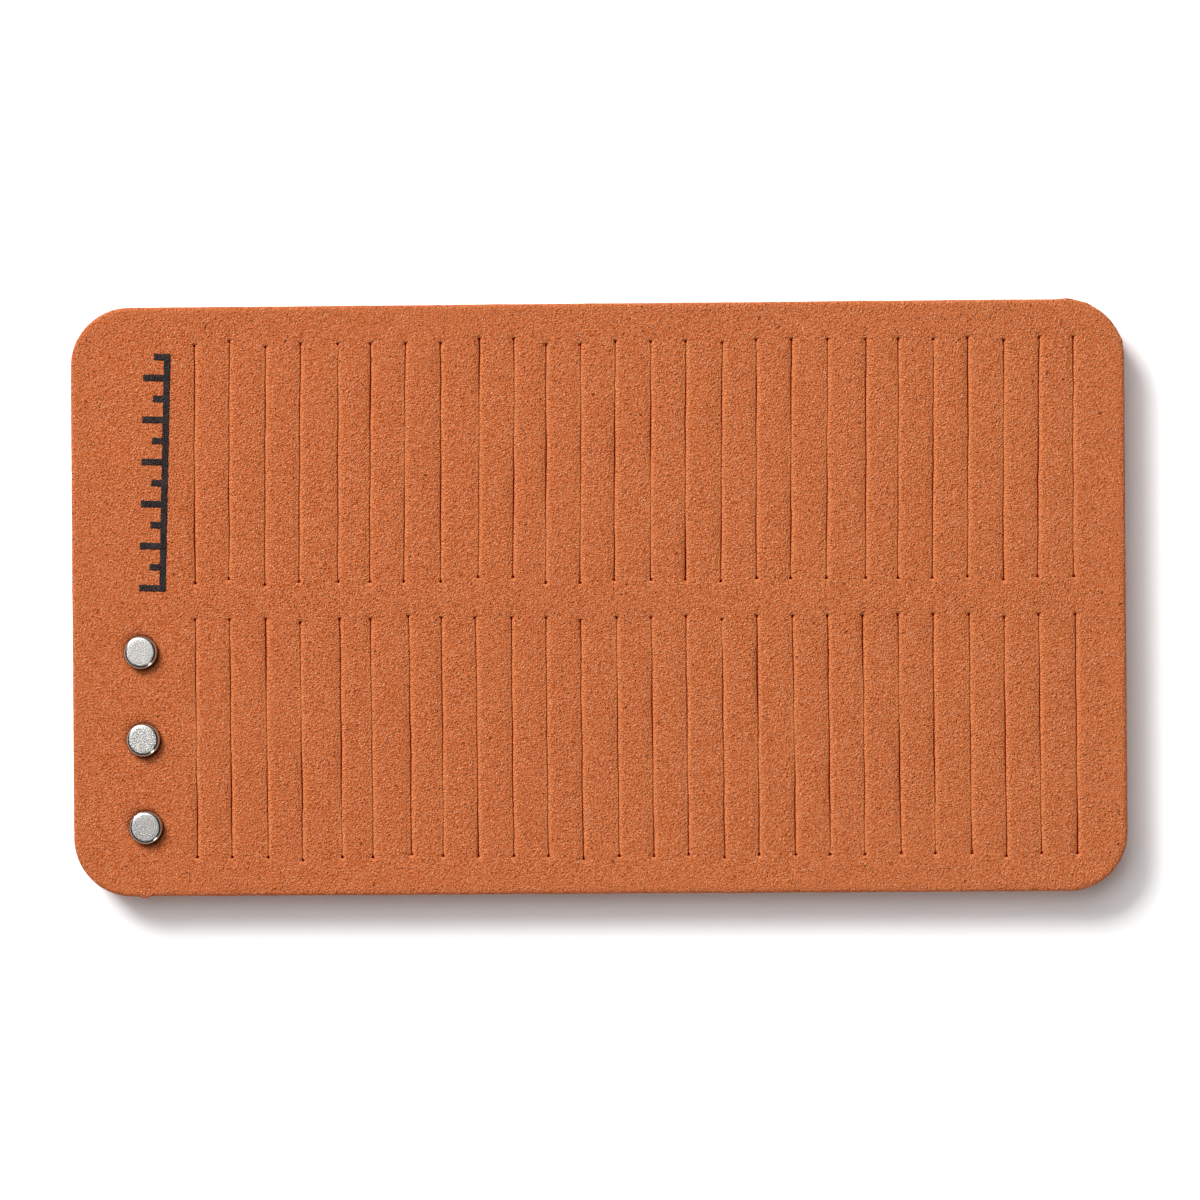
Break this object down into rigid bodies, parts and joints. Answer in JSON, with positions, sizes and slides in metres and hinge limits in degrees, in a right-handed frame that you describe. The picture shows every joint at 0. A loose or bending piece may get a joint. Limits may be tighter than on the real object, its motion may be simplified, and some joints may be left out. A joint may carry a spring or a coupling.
{
  "type": "slit foam hook holder card",
  "caption": "Flat rounded soft foam card with rows of knife slits that grip small hooks, small pressed-in magnets beside them, and a plain printed tick scale.",
  "frame": {"origin": "middle of the foam pad's back face, at the bottom centre of the whole part", "axes": "+Z out of the slit face, +X along the length away from the magnets, +Y across the width, from the magnets towards the printed scale"},
  "size_m": [0.125, 0.07, 0.006],
  "materials": {
    "foam": "matte",
    "plated_magnet": "satin",
    "ink": "matte"
  },
  "bodies": {
    "root": {"foam_pad": "foam", "magnet_upper": "plated_magnet", "magnet_middle": "plated_magnet", "magnet_lower": "plated_magnet", "printed_scale": "ink"}
  },
  "joints": []
}
